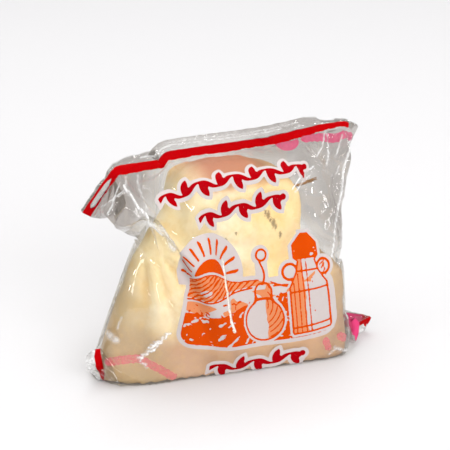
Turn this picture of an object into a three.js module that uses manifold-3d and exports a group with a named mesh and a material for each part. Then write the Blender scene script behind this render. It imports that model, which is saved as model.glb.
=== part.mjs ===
// A smoked provola sealed in a clear film bag, standing on its base.
// The bag is a flat film tube sealed straight across at both ends. The slumped body of the cheese fills its
// lower part and the head holds it open up to its shoulder. Above that the tube closes to the top seal, whose
// left corner hangs down, and the two ends of the bottom seal stick out beside the base as ears.
// Millimetres, +Z up. The printed front faces -Y.
import * as THREE from "three";
import { ConvexGeometry } from "three/addons/geometries/ConvexGeometry.js";
import { mergeVertices } from "three/addons/utils/BufferGeometryUtils.js";
import Module from "manifold-3d";

// Driving dimensions, with reaches taken from the middle of the bottom seal
const SEAL_FOOT = 118; // height at which front and back film meet
const SEAL_WIDTH = 10.5; // from there to the free edge
const SEAL_THICKNESS = 1.2; // the sealed strip, made thick enough for a solid
const BASE = { left: 79, right: 64, halfDepth: 29.3, twist: 7 }; // twist in degrees against the top seal
const BASE_EDGE = { height: 8, reach: 3, depth: 1.5 }; // the film is drawn in under the edge of the base
const BODY_HEIGHT = 45; // the base keeps its full depth up to here
const HEAD = { height: 106, halfDepth: 21.5 }; // the shoulder of the cheese's head
const HEAD_CLOSING = { fall: 1.6, blunt: 0.8 }; // powers of the curve by which the film closes over the head
const SIDE_START = 20; // the left side slopes in from here to the waist
const WAIST = { height: 76, left: 57 }; // the left side is pinched under the hanging corner
const RIGHT_SPREAD = 100; // the right side spreads from here to the top seal
const SEAL_REACH = { left: 93, right: 76 }; // before the left corner hangs
const SEAL_SLOPE = { rise: 3.2, riseEnd: 50, fall: 4.7, fallStart: 58, drop: 4.2, dropStart: 36, dropEnd: 46 };
const HANG = { start: 66, angle: 58, back: 0.3 }; // degrees below level, and share of its length it swings back
const TURNED_DOWN = { drop: 6, right: [50, 62], left: [42, 72] }; // the free edge is folded away at both ends
const LOOSE = { across: -41, height: 52, stand: 6, wide: 15, tall: 20 }; // film that stands off beside the waist
const FOLDS = { count: 9, depth: 1.2, start: [4, 22], end: [45, 85], backShare: 0.6, foot: 6, thin: 10 };
const LEFT_EAR = { reach: 89, root: 16, spread: 9, rootTop: 23, middle: -2, tip: [0, 5], shoulder: [81, 18, 0] };
const RIGHT_EAR = { reach: 82, root: 10, spread: 8, rootTop: 20, middle: -4, tip: [3, 11.5], shoulder: [70, 13.5, 1] };

// Squareness of the level sections on each side, as powers: 2 is an ellipse, 5 a rounded block
const SQUARE = { rightBase: 4.6, leftBase: 3.2, waist: 4.5, seal: 1.6 };

// Fineness of the surface
const SECTORS = 84; // even, so that front and back points pair up
const RINGS = 40;
const RING_CROWDING = 0.09; // how far the rings are drawn to the foot and the free edge

const TOP = SEAL_FOOT + SEAL_WIDTH;
const radians = THREE.MathUtils.degToRad;
const smooth = THREE.MathUtils.smoothstep;
const { lerp, clamp } = THREE.MathUtils;

// A smooth profile over the height, through a few [height, value] stops.
function profile(stops) {
  return (height) => {
    let value = stops[0][1];
    for (let i = 1; i < stops.length; i++) {
      const step = stops[i][1] - stops[i - 1][1];
      value += step * smooth(height, stops[i - 1][0], stops[i][0]);
    }
    return value;
  };
}

// 0 at the floor, where the film turns under the base, and 1 above the rounded edge.
const aboveEdge = (height) => smooth(height, 0, BASE_EDGE.height);

// Reach of the film to each side.
const rightSpread = profile([
  [RIGHT_SPREAD, BASE.right],
  [SEAL_FOOT, SEAL_REACH.right],
]);
const rightReach = (height) => rightSpread(height) - BASE_EDGE.reach * (1 - aboveEdge(height));

function leftReach(height) {
  if (height < WAIST.height) {
    const sloped = clamp((height - SIDE_START) / (WAIST.height - SIDE_START), 0, 1);
    return lerp(BASE.left, WAIST.left, sloped) - BASE_EDGE.reach * (1 - aboveEdge(height));
  }
  return lerp(WAIST.left, SEAL_REACH.left, Math.min(1, (height - WAIST.height) / (SEAL_FOOT - WAIST.height)));
}

// Half the depth: full over the body, less over the head, closing to the seal above it.
const filledDepth = profile([
  [BODY_HEIGHT, BASE.halfDepth],
  [HEAD.height, HEAD.halfDepth],
]);

function halfDepth(height) {
  const closed = clamp((height - HEAD.height) / (SEAL_FOOT - HEAD.height), 0, 1);
  const open = Math.pow(1 - Math.pow(closed, HEAD_CLOSING.fall), HEAD_CLOSING.blunt);
  const depth = filledDepth(height) * open - BASE_EDGE.depth * (1 - aboveEdge(height));
  return Math.max(SEAL_THICKNESS / 2, depth);
}

// How square a level section is: a rounded block at the base and under the pinched waist, a thin lens at the seal.
const rightPower = profile([
  [RIGHT_SPREAD, SQUARE.rightBase],
  [SEAL_FOOT, SQUARE.seal],
]);
const leftPower = profile([
  [BODY_HEIGHT, SQUARE.leftBase],
  [WAIST.height, SQUARE.waist],
  [SEAL_FOOT, SQUARE.seal],
]);

// Soft folds that fan out from the pinched waist over the lower left of the film.
function waistFolds(x, y, height) {
  if (height < FOLDS.foot) return 0;
  const along = new THREE.Vector2(x + WAIST.left, WAIST.height - height);
  const distance = along.length();
  const fan = Math.cos(FOLDS.count * Math.atan2(along.x, along.y));
  const reach = smooth(distance, ...FOLDS.start) * (1 - smooth(distance, ...FOLDS.end));
  const thinner = Math.min(1, halfDepth(height) / FOLDS.thin);
  return FOLDS.depth * fan * reach * thinner * (y < 0 ? 1 : FOLDS.backShare);
}

// Film that stands off the cheese beside the waist, in front and behind.
function standOff(x, height) {
  const across = (x - LOOSE.across) / LOOSE.wide;
  const up = (height - LOOSE.height) / LOOSE.tall;
  return LOOSE.stand * Math.exp(-across * across - up * up);
}

// The top seal rises to the right, falls at its end and steps down on the left, as far as the waist below it.
function sealSlope(x, height) {
  const rise = SEAL_SLOPE.rise * smooth(x, 0, SEAL_SLOPE.riseEnd);
  const fall = SEAL_SLOPE.fall * smooth(x, SEAL_SLOPE.fallStart, SEAL_REACH.right);
  const drop = SEAL_SLOPE.drop * smooth(-x, SEAL_SLOPE.dropStart, SEAL_SLOPE.dropEnd);
  return (rise - fall - drop) * smooth(height, WAIST.height, SEAL_FOOT);
}

// The free edge of the seal is folded away at its two ends.
function foldedEdge(x, height) {
  const end = x > 0 ? smooth(x, ...TURNED_DOWN.right) : smooth(-x, ...TURNED_DOWN.left);
  return TURNED_DOWN.drop * end * smooth(height, SEAL_FOOT, TOP);
}

// The left corner hangs: above the waist, whatever lies beyond the hang line drops and swings back.
function hang(point, height) {
  const beyond = -HANG.start - point.x;
  if (beyond <= 0 || height < WAIST.height) return point;
  const angle = radians(HANG.angle);
  point.x = -HANG.start - beyond * Math.cos(angle);
  point.z -= beyond * Math.sin(angle);
  point.y += beyond * HANG.back;
  return point;
}

function filmPoint(height, sector) {
  const angle = (2 * Math.PI * sector) / SECTORS;
  const [cos, sin] = [Math.cos(angle), Math.sin(angle)];
  const power = (cos > 0 ? rightPower : leftPower)(height);
  const spread = Math.pow(Math.pow(Math.abs(cos), power) + Math.pow(Math.abs(sin), power), -1 / power);
  const x = (cos > 0 ? rightReach : leftReach)(height) * cos * spread;
  const deep = sin * spread;
  const y = halfDepth(height) * deep;
  const out = waistFolds(x, y, height) * Math.sign(y) + standOff(x, height) * deep;
  const level = height + sealSlope(x, height) - foldedEdge(x, height);
  const point = new THREE.Vector3(x, y + out, level);
  const twist = radians(-BASE.twist) * (1 - smooth(height, 0, SEAL_FOOT));
  point.applyAxisAngle(new THREE.Vector3(0, 0, 1), twist);
  return hang(point, height);
}

// Rings are closer together where the film turns: at the foot and under the top seal.
function ringHeights() {
  const heights = [];
  for (let i = 0; i <= RINGS; i++) {
    const t = i / RINGS;
    heights.push(TOP * (t - RING_CROWDING * Math.sin(2 * Math.PI * t)));
  }
  return heights;
}

// The closed surface: rings of film points, with foot and free edge closed by strips from front to back.
function filmGeometry() {
  const heights = ringHeights();
  const positions = heights.flatMap((height) =>
    Array.from({ length: SECTORS }, (_, sector) => filmPoint(height, sector).toArray()).flat(),
  );
  const at = (ring, sector) => ring * SECTORS + ((sector + SECTORS) % SECTORS);
  const faces = [];
  for (let ring = 0; ring < RINGS; ring++)
    for (let sector = 0; sector < SECTORS; sector++) {
      const [a, b] = [at(ring, sector), at(ring, sector + 1)];
      const [c, d] = [at(ring + 1, sector + 1), at(ring + 1, sector)];
      faces.push(a, b, c, a, c, d);
    }
  for (let i = 0; i < SECTORS / 2; i++) {
    const near = (ring) => [at(ring, i), at(ring, i + 1)];
    const far = (ring) => [at(ring, -i), at(ring, -i - 1)];
    const [[a, b], [c, d]] = [near(0), far(0)];
    const [[e, f], [g, h]] = [near(RINGS), far(RINGS)];
    faces.push(a, c, d, a, d, b, e, f, h, e, h, g);
  }
  const usable = [];
  for (let i = 0; i < faces.length; i += 3) {
    const [a, b, c] = faces.slice(i, i + 3);
    if (a !== b && b !== c && c !== a) usable.push(a, b, c);
  }
  const geometry = new THREE.BufferGeometry();
  geometry.setAttribute("position", new THREE.Float32BufferAttribute(positions, 3));
  geometry.setIndex(usable);
  return geometry;
}

// An ear: an end of the bottom seal, a wedge that runs out of the base to a thin tip.
function earGeometry(side, ear) {
  const root = side * ((side < 0 ? BASE.left : BASE.right) - ear.root);
  const [shoulder, shoulderTop, shoulderFoot] = ear.shoulder;
  const points = [
    new THREE.Vector3(root, ear.middle - ear.spread, 0),
    new THREE.Vector3(root, ear.middle + ear.spread, 0),
    new THREE.Vector3(root, ear.middle, ear.rootTop),
  ];
  for (const y of [ear.middle - SEAL_THICKNESS / 2, ear.middle + SEAL_THICKNESS / 2])
    points.push(
      new THREE.Vector3(side * shoulder, y, shoulderFoot),
      new THREE.Vector3(side * shoulder, y, shoulderTop),
      new THREE.Vector3(side * ear.reach, y, ear.tip[0]),
      new THREE.Vector3(side * ear.reach, y, ear.tip[1]),
    );
  return new ConvexGeometry(points);
}

const wasm = await Module();
wasm.setup();

function solid(geometry) {
  const bare = geometry.clone();
  bare.deleteAttribute("normal");
  bare.deleteAttribute("uv");
  const merged = mergeVertices(bare, 1e-3);
  return new wasm.Manifold(
    new wasm.Mesh({
      numProp: 3,
      vertProperties: merged.attributes.position.array,
      triVerts: new Uint32Array(merged.index.array),
    }),
  );
}

function geometryOf(body) {
  const mesh = body.getMesh();
  const geometry = new THREE.BufferGeometry();
  geometry.setAttribute("position", new THREE.BufferAttribute(mesh.vertProperties, 3));
  geometry.setIndex(new THREE.BufferAttribute(mesh.triVerts, 1));
  return geometry;
}

const ears = [earGeometry(-1, LEFT_EAR), earGeometry(1, RIGHT_EAR)];
const bag = geometryOf(ears.reduce((whole, ear) => whole.add(solid(ear)), solid(filmGeometry())));

// The origin is under the middle of the whole bag, on the surface it stands on.
bag.computeBoundingBox();
const middle = bag.boundingBox.getCenter(new THREE.Vector3());
bag.translate(-middle.x, -middle.y, -bag.boundingBox.min.z);
bag.computeVertexNormals();

const film = new THREE.MeshStandardMaterial({ color: 0xe6d6b0, roughness: 0.25, metalness: 0 });
const provolaBag = new THREE.Mesh(bag, film);
provolaBag.name = "provola_bag";

const part = new THREE.Group();
part.add(provolaBag);
export default part;
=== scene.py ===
import bmesh
import bpy
import numpy as np
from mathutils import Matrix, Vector, kdtree, noise


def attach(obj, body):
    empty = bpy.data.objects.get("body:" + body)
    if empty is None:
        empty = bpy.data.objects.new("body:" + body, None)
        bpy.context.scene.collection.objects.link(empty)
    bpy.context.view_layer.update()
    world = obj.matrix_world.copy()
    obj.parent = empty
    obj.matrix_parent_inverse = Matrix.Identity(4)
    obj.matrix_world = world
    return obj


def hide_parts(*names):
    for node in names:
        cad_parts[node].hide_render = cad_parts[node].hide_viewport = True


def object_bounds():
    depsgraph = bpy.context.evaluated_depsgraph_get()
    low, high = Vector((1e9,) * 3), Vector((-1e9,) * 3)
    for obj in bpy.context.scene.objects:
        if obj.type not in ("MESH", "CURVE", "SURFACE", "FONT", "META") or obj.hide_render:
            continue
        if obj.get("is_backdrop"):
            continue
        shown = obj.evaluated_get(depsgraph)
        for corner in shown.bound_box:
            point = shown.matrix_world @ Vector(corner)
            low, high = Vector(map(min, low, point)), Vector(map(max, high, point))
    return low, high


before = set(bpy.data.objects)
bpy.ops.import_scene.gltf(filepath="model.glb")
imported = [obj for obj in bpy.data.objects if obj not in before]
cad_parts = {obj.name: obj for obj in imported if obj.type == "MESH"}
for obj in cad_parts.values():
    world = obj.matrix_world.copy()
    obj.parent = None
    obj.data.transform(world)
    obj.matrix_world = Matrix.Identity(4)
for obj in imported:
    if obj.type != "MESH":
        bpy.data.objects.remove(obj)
cad_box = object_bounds()


# The cheese: a smoked provola, a soft stretched-curd cheese that has slumped flat on its base in the bag.
# A square head stands on a wide body with a shoulder at its left, and smoke has tanned the skin in patches.
MM = 0.001
SEAL_MIDDLE = np.array([3.5, -1.615, 0.0])  # the middle of the bottom seal, where places in mm start
CHEESE_LOBES = (  # centre, half sizes, turn and lean in degrees, squarings: 1 for an egg, 3 for a block
    ((-2.0, 0.5, 66.0), (35.0, 22.0, 45.0), 0.0, 0.0, 3),
    ((1.2, 0.0, 23.0), (58.0, 27.5, 31.0), -7.0, -4.0, 3),
    ((-51.0, 1.0, 25.0), (25.5, 21.5, 75.0), -4.0, 19.0, 1),
)
LOBE_BLEND = 7.0
CHEESE_FOOT = 0.8  # the film under the cheese
CHEESE_HEART = np.array([-5.0, 0.0, 45.0])
CHEESE_FINENESS = 6
CHEESE_REACH = 130.0  # past the farthest skin from the heart
HALVINGS = 24
SKIN_SINK = 1.2  # how far the dented skin lies below the smooth form that holds the film
HEAD_MIDDLE = -2.0
DOME_RISE = 4.5  # of the head's top, under the tent that the film makes up to its seal
DOME_HALVES = (34.0, 17.0)  # how far the dome reaches from the head's middle, across and deep
DOME_FALL = 0.3  # the slope of the head's top, down to the right


def eased(value, low, high):
    """0 below low, 1 above high, smooth between."""
    share = np.clip((value - low) / (high - low), 0, 1)
    return share * share * (3 - 2 * share)


def turned(first, second, degrees):
    """Two coordinates, seen from axes that are turned by an angle."""
    cos, sin = np.cos(np.radians(degrees)), np.sin(np.radians(degrees))
    return first * cos + second * sin, second * cos - first * sin


def cheese_distance(points, opened=1.0):
    """Rough distance of points from the cheese's skin, its depth scaled by opened while the film closes."""
    points = points * np.array([1.0, 1.0 / opened, 1.0], np.float32)
    whole = None
    for centre, half, turn, lean, squarings in CHEESE_LOBES:
        across, deep, high = np.moveaxis(points - np.array(centre, np.float32), -1, 0)
        across, deep = turned(across, deep, turn)
        high, across = turned(high, across, lean)
        parts = [across / half[0], deep / half[1], high / half[2]]
        for _ in range(squarings):
            parts = [part * part for part in parts]
        size = parts[0] + parts[1] + parts[2]
        for _ in range(squarings):
            size = np.sqrt(size)
        lobe = (size - 1) * min(half)
        if whole is None:
            whole = lobe
        else:
            share = np.clip(0.5 + 0.5 * (whole - lobe) / LOBE_BLEND, 0, 1)
            whole = whole + (lobe - whole) * share - LOBE_BLEND * share * (1 - share)
    return np.maximum(whole, CHEESE_FOOT - points[..., 2])


def cheese_slope(points, opened=1.0):
    """Distance of points from the skin, and the direction in which it grows."""
    step = 0.4
    here = cheese_distance(points, opened)
    moved = [cheese_distance(points + shift, opened) for shift in np.eye(3, dtype=np.float32) * step]
    return here, np.stack([(other - here) / step for other in moved], -1)


def ripples(points, size, seed, octaves=3):
    """Smooth noise between about -1 and 1 at each point, its features about size across."""
    shift = Vector((seed * 7.1, seed * 3.7, seed * 5.3))
    return np.array([noise.fractal(Vector(p) / size + shift, 1.0, 2.0, octaves) for p in points.tolist()])


WAIST = (-56.0, 78.0)  # across and height, where the film is pinched and the folds below it start
FOLD_COUNT = 15.0


def waist_folds(points):
    """Soft folds that fan out from the pinched waist over the lower left, between -1 and 1."""
    across, down = points[..., 0] - WAIST[0], WAIST[1] - points[..., 2]
    reach = np.hypot(across, down)
    fan = np.sin(FOLD_COUNT * np.arctan2(across, down) + 0.02 * reach)
    return fan * eased(reach, 4, 22) * (1 - eased(reach, 48, 80)) * eased(down, 0, 14)


PRESS_ACROSS = np.array([0.9063, -0.4226, 0.0], np.float32)  # the plane in which the wedges are drawn
PRESS_UP = np.array([0.1445, 0.3100, 0.9397], np.float32)
WEDGES = (  # apex, a point on the upper side and one on the lower, which side, lowest height pressed
    ((-53.8, 64.0), (-82.9, 77.8), (-74.7, 5.7), -1, 3.0),
    ((57.9, 78.9), (66.7, 122.3), (61.2, 24.4), 1, 22.0),
    ((62.0, 22.5), (78.0, 46.0), (82.0, 17.5), 1, 3.0),
)
PRESS_GAP, PRESS_ROUNDING = 1.3, 2.0  # how far the cheese stays clear of the first wedge, and how softly


def depth_in_wedge(points, wedge, drawn_back):
    """How deep points are in a wedge drawn back so far, below 0 outside, and the way out in its plane."""
    apex, upper, lower, side, _ = wedge
    apex = np.array(apex)
    rise, fall = np.array(upper) - apex, np.array(lower) - apex
    off_rise = side * np.array([-rise[1], rise[0]]) / np.linalg.norm(rise)
    off_fall = side * np.array([fall[1], -fall[0]]) / np.linalg.norm(fall)
    apex = apex + np.array([side * drawn_back, 0])
    flat = np.stack([points @ PRESS_ACROSS, points @ PRESS_UP], -1) - apex
    over, under = flat @ off_rise, flat @ off_fall
    way = np.where((over > under)[..., None], off_rise, off_fall)
    return np.where(over > under, -over, -under), way


def flank_pressed(points):
    """The cheese's points, its left flank flattened by the wedge that presses in the film there."""
    depth, way = depth_in_wedge(points, WEDGES[0], 0.0)
    depth = depth + PRESS_GAP
    move = ((depth + np.hypot(depth, PRESS_ROUNDING)) / 2 * eased(points[:, 2], 1, 5))[:, None] * way
    points = points + move[:, :1] * PRESS_ACROSS + move[:, 1:] * PRESS_UP
    points[:, 2] = np.maximum(points[:, 2], CHEESE_FOOT)
    return points


def cheese_points():
    """The skin's points, found along rays, dented and pressed, its faces and how hollow each point is."""
    ball = bmesh.new()
    bmesh.ops.create_icosphere(ball, subdivisions=CHEESE_FINENESS, radius=1.0)
    rays = np.array([vert.co for vert in ball.verts])
    faces = [[vert.index for vert in face.verts] for face in ball.faces]
    ball.free()
    near, far = np.zeros(len(rays)), np.full(len(rays), CHEESE_REACH)
    for _ in range(HALVINGS):
        middle = (near + far) / 2
        outside = cheese_distance(CHEESE_HEART + rays * middle[:, None]) > 0
        near, far = np.where(outside, near, middle), np.where(outside, middle, far)
    points = CHEESE_HEART + rays * near[:, None]
    _, normals = cheese_slope(points)
    normals /= np.linalg.norm(normals, axis=1, keepdims=True)
    dents = 1.1 * ripples(points, 24.0, 1)
    dents += 1.2 * np.minimum(0, ripples(points * [1, 1, 0.45], 8.0, 2) + 0.1)
    folds = 2.0 * waist_folds(points)
    above_foot = np.clip(points[:, 2] / 6.0, 0, 1)
    relief = (dents + folds - SKIN_SINK) * above_foot
    skin = points + normals * np.minimum(relief, 0.1)[:, None]
    dome = np.clip(1 - (points[:, 1] / DOME_HALVES[1]) ** 2, 0, 1)
    dome *= np.clip(1 - ((points[:, 0] - HEAD_MIDDLE) / DOME_HALVES[0]) ** 4, 0, 1)
    skin[:, 2] += DOME_RISE * dome * eased(points[:, 2], 96, 110)
    skin[:, 2] -= DOME_FALL * np.maximum(0, points[:, 0] - 4) * eased(points[:, 2], 92, 108)
    return flank_pressed(skin), faces, -relief


class Socket:
    """One socket of a material's node tree. Arithmetic on it adds Math nodes."""

    def __init__(self, tree, link=None):
        self.tree = tree
        self.link = link

    def add(self, kind, settings=None, values=None, output=0):
        """A node of this kind, its settings first and then the values or links of its sockets."""
        node = self.tree.nodes.new(kind)
        for name, value in (settings or {}).items():
            setattr(node, name, value)
        for name, value in (values or {}).items():
            if isinstance(value, Socket):
                self.tree.links.new(value.link, node.inputs[name])
            else:
                node.inputs[name].default_value = value
        return Socket(self.tree, node.outputs[output] if node.outputs else None)

    def maths(self, operation, *terms):
        return self.add("ShaderNodeMath", {"operation": operation}, dict(enumerate(terms)))

    def __add__(self, other):
        return self.maths("ADD", self, other)

    def __sub__(self, other):
        return self.maths("SUBTRACT", self, other)

    def __rsub__(self, other):
        return self.maths("SUBTRACT", other, self)

    def __mul__(self, other):
        return self.maths("MULTIPLY", self, other)

    def __pow__(self, other):
        return self.maths("POWER", self, other)

    __radd__ = __add__
    __rmul__ = __mul__

    def between(self, low, high):
        """0 below low, 1 above high, smooth between."""
        return self.add(
            "ShaderNodeMapRange",
            {"interpolation_type": "SMOOTHSTEP"},
            {"Value": self, "From Min": low, "From Max": high},
        )

    def noise(self, size, detail=3.0, roughness=0.5):
        """Noise over this place socket, its features about size millimetres across."""
        values = {"Vector": self, "Scale": 1.0 / (size * MM), "Detail": detail, "Roughness": roughness}
        return self.add("ShaderNodeTexNoise", {}, values)

    def mix(self, colour, other):
        """A colour, turned to the other where this socket is 1."""
        values = {"Factor": self, 6: colour, 7: other}
        return self.add("ShaderNodeMix", {"data_type": "RGBA"}, values, output=2)

    def bump(self, strength, height):
        """A bumped normal, this socket's 1 standing height millimetres up."""
        values = {"Strength": strength, "Distance": height * MM, "Height": self}
        return self.add("ShaderNodeBump", {}, values)

    def blend(self, share, shader, other):
        """A shader, turned to the other where share is 1."""
        return self.add("ShaderNodeMixShader", {}, {"Fac": share, 1: shader, 2: other})

    def part(self, axis):
        """One coordinate of this place socket."""
        return self.add("ShaderNodeSeparateXYZ", {}, {"Vector": self}, output=axis)

    def attribute(self, name):
        """A value that the mesh holds at its points."""
        return self.add("ShaderNodeAttribute", {"attribute_name": name}, output="Fac")


def srgb(red, green, blue):
    """A colour given in 0 to 255 as it looks on a screen, in the linear light that shaders use."""
    channels = np.array([red, green, blue]) / 255
    linear = np.where(channels <= 0.04045, channels / 12.92, ((channels + 0.055) / 1.055) ** 2.4)
    return (*linear.tolist(), 1.0)


def new_material(name):
    """An empty node material, its place socket in metres and a function that sets its surface."""
    material = bpy.data.materials.new(name)
    material.use_nodes = True
    tree = material.node_tree
    tree.nodes.clear()
    place = Socket(tree).add("ShaderNodeTexCoord", output="Object")

    def finish(surface):
        place.add("ShaderNodeOutputMaterial", {}, {"Surface": surface})
        return material

    return place, finish


CHEESE_MARKS = (  # across, height and size of each smoke mark on the front of the head
    (8.6, 88.2, 1.3),
    (10.4, 86.4, 1.7),
    (11.6, 83.6, 1.1),
    (13.2, 81.6, 1.8),
    (14.6, 79.4, 1.2),
    (17.4, 74.4, 1.2),
    (-15.6, 73.4, 1.4),
    (-14.6, 76.0, 0.8),
    (-9.0, 79.0, 0.7),
)
MARK_STRETCH = (1.5, 0.0, 0.75)  # the marks are taller than wide, and go straight in from the front


def smoke_marks(place):
    """1 on the smoke marks, on the front of the head alone."""
    speckle = 0.005 * place.noise(1.0, 4.0, 0.75)
    level = place.add("ShaderNodeVectorMath", {"operation": "MULTIPLY"}, {0: place, 1: MARK_STRETCH})
    charred = None
    for across, height, size in CHEESE_MARKS:
        spot = ((across + SEAL_MIDDLE[0]) * MM * MARK_STRETCH[0], 0.0, height * MM * MARK_STRETCH[2])
        ends = {0: level, 1: spot}
        away = place.add("ShaderNodeVectorMath", {"operation": "DISTANCE"}, ends, output="Value")
        mark = 1 - (away + speckle - 0.0025).between(size * 0.4 * MM, size * 1.6 * MM)
        charred = mark if charred is None else charred.maths("MAXIMUM", charred, mark)
    return charred * (1 - place.part("Y").between(-0.012, -0.006))


def cheese_material():
    place, finish = new_material("smoked_curd")
    across, height = place.part("X"), place.part("Z")
    golden = across + 0.2 * height + 0.02 * place.noise(18.0, 4.0)
    low = height - 3.0 * across * across + 0.010 * place.noise(20.0, 3.0)
    flank = across + 0.25 * height + 0.02 * place.noise(16.0, 4.0)
    shaded = across + 0.012 * place.noise(12.0, 4.0)
    top = (height - 0.06 * across + 0.012 * place.noise(16.0, 3.0)).between(0.106, 0.117)
    top = top * across.between(-0.036, -0.014) * (1 - 0.5 * across.between(0.004, 0.03))
    tones = (  # where each tone lies, how strong it is there, and its colour, one over the other
        (place.noise(13.0, 5.0, 0.6).between(0.5, 0.75), 0.45, (246, 206, 134)),
        # painted shade: darker in the hollows of the folds and dents
        (place.attribute("hollow").between(1.6, 4.2), 0.55, (214, 176, 116)),
        (golden.between(0.012, 0.045), 0.5, (255, 212, 132)),
        (1 - low.between(0.018, 0.032), 0.85, (192, 148, 118)),
        # painted shade: darker towards the left flank
        (1 - flank.between(-0.046, -0.024), 0.85, (184, 160, 122)),
        (shaded.between(0.038, 0.06), 0.85, (166, 136, 110)),
        (place.noise(4.5, 6.0, 0.7).between(0.42, 0.7), 0.22, (222, 184, 120)),
        (top, 0.9, (184, 118, 94)),
        (smoke_marks(place), 0.8, (112, 92, 50)),
    )
    clouds = place.noise(26.0, 4.0, 0.55).between(0.35, 0.68)
    skin = clouds.mix(srgb(247, 236, 207), srgb(246, 226, 178))
    for where, strength, colour in tones:
        skin = (where * strength).mix(skin, srgb(*colour))
    grain = place.noise(1.6, 3.0)
    values = {
        "Base Color": skin,
        "Roughness": 0.5 + 0.2 * grain,
        "Specular IOR Level": 0.35,
        "Normal": (grain * 0.4 + place.noise(7.0, 2.0)).bump(0.35, 0.6),
        "Subsurface Weight": 0.15,
        "Subsurface Radius": (0.004, 0.003, 0.0015),
        "Subsurface Scale": 1.0,
    }
    return finish(place.add("ShaderNodeBsdfPrincipled", {}, values))


def new_piece(name, points, faces, material):
    """A smooth mesh from points in millimetres from the bottom seal's middle, fixed to the one body."""
    mesh = bpy.data.meshes.new(name)
    mesh.from_pydata(((points + SEAL_MIDDLE) * MM).tolist(), [], faces)
    mesh.polygons.foreach_set("use_smooth", [True] * len(mesh.polygons))
    mesh.materials.append(material)
    piece = bpy.data.objects.new(name, mesh)
    bpy.context.scene.collection.objects.link(piece)
    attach(piece, "root")
    return piece


cheese_skin, cheese_faces, cheese_hollow = cheese_points()
cheese = new_piece("cheese", cheese_skin, cheese_faces, cheese_material())
cheese.data.attributes.new("hollow", "FLOAT", "POINT").data.foreach_set("value", cheese_hollow)


# The raffia: the tie that the cheese hung by in the smoke. A short frayed end of it shows at the top right.
# It is a few dry strands twisted together, lying between the cheese and the film.
RAFFIA_STOPS = ((29.0, -9.0, 97.5), (34.0, -8.5, 96.4), (39.0, -8.0, 97.2), (45.5, -8.0, 98.6))
STRAND_RADIUS, STRAND_SWING = 0.42, 0.5
STRAND_TWIST = 3.4  # radians from one stop to the next
STRAND_STARTS = (0.0, 2.1, 4.2)


def strand(stops, radius, swing, start):
    """A tube that twists round a path through stops, thinner at its end, as points and faces."""
    steps, sides = 40, 7
    share = np.linspace(0, len(stops) - 1, steps)
    path = np.stack([np.interp(share, np.arange(len(stops)), axis) for axis in zip(*stops)], -1)
    turn = share * STRAND_TWIST + start
    wide = swing * (0.5 + 0.8 * share / share[-1])
    path += np.stack([0 * turn, np.cos(turn), np.sin(turn)], -1) * wide[:, None]
    angles = np.linspace(0, 2 * np.pi, sides, endpoint=False)
    ring = np.stack([0 * angles, np.cos(angles), np.sin(angles)], -1)
    thick = radius * (1 - 0.5 * eased(share, len(stops) - 1.6, len(stops) - 1))
    points = (path[:, None] + ring[None] * thick[:, None, None]).reshape(-1, 3)
    faces = []
    for step in range(steps - 1):
        for side in range(sides):
            ahead = (side + 1) % sides
            low, high = step * sides, (step + 1) * sides
            faces.append([low + side, low + ahead, high + ahead, high + side])
    faces.append(list(range(sides))[::-1])
    faces.append([(steps - 1) * sides + side for side in range(sides)])
    return points, faces


def joined(parts):
    """Several sets of points and faces as one."""
    points, faces = [], []
    for some_points, some_faces in parts:
        start = sum(len(other) for other in points)
        points.append(some_points)
        faces += [[index + start for index in face] for face in some_faces]
    return np.concatenate(points), faces


def raffia_material():
    place, finish = new_material("dry_raffia")
    fibre = place.noise(0.8, 4.0, 0.6)
    dry = fibre.between(0.3, 0.7).mix(srgb(176, 132, 84), srgb(112, 76, 42))
    values = {"Base Color": dry, "Roughness": 0.75, "Normal": fibre.bump(0.6, 0.3)}
    return finish(place.add("ShaderNodeBsdfPrincipled", {}, values))


strands = [strand(RAFFIA_STOPS, STRAND_RADIUS, STRAND_SWING, start) for start in STRAND_STARTS]
new_piece("raffia_end", *joined(strands), raffia_material())


# The bag: a tube of clear film, laid flat and sealed straight across at both ends with the cheese inside.
# It is settled as a grid of points that keep their distances: the seals move from flat to where they stand,
# the cheese opens the tube, and wedges press in the sides as hands do, which pinches the waist.
FLAT_WIDTH = 178.0
OPEN_LENGTH = 156.0  # between the inner edges of the two seals
COLUMNS, ROWS = 88, 40  # around the tube and along it, before it is refined twice
TOP_SEAL = (
    (-80.5, 9, 89.8),
    (-66.5, 1, 113.6),
    (-42, 0, 114.0),
    (-38.8, 0, 118.2),
    (9, 0, 118.4),
    (33, 0, 119.6),
    (52, 1, 121.6),
    (68, 3, 121.0),
    (76, 4, 116.5),
)
FOOT_SEAL = (
    (-82.8, -7, 21.0),
    (-79.5, -6, 1.0),
    (-40, 1, 0.6),
    (20, 0, 0.6),
    (54, -1, 0.8),
    (62, -5, 8),
    (67.5, -7, 14.5),
    (76.5, -8, 11.5),
    (84, -8, 8.5),
)
SEAL_ROUNDING = 0.7
FILM_GAP = 0.6
FLOOR_GAP = 0.5
WEDGE_TRAVEL = 60.0  # how far out the wedges start
DAMPING, TOP_SPEED, PASSES = 0.9, 1.5, 8  # of one settling step
STRAIGHT_HOLD, SLANT_HOLD = (1.0, 0.6), (0.5, 0.25)  # how firmly distances resist stretch and squeeze
FILM_SEED = 3
STAGES = (  # steps, pressure, weight and stiffness: closing, resting, then after each refining
    (260, 0.006, 0.003, 0.05),
    (140, 0.0015, 0.003, 0.05),
    (80, 0.0008, 0.0015, 0.04),
    (24, 0.0004, 0.0008, 0.03),
)
QUICK_STEPS = 20
PRINTED_ACROSS, PRINTED_ALONG = (36, 48, 136, 148), (20, 32, 138, 148)  # where the print starts and ends
IRON_PASSES = 60


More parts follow.
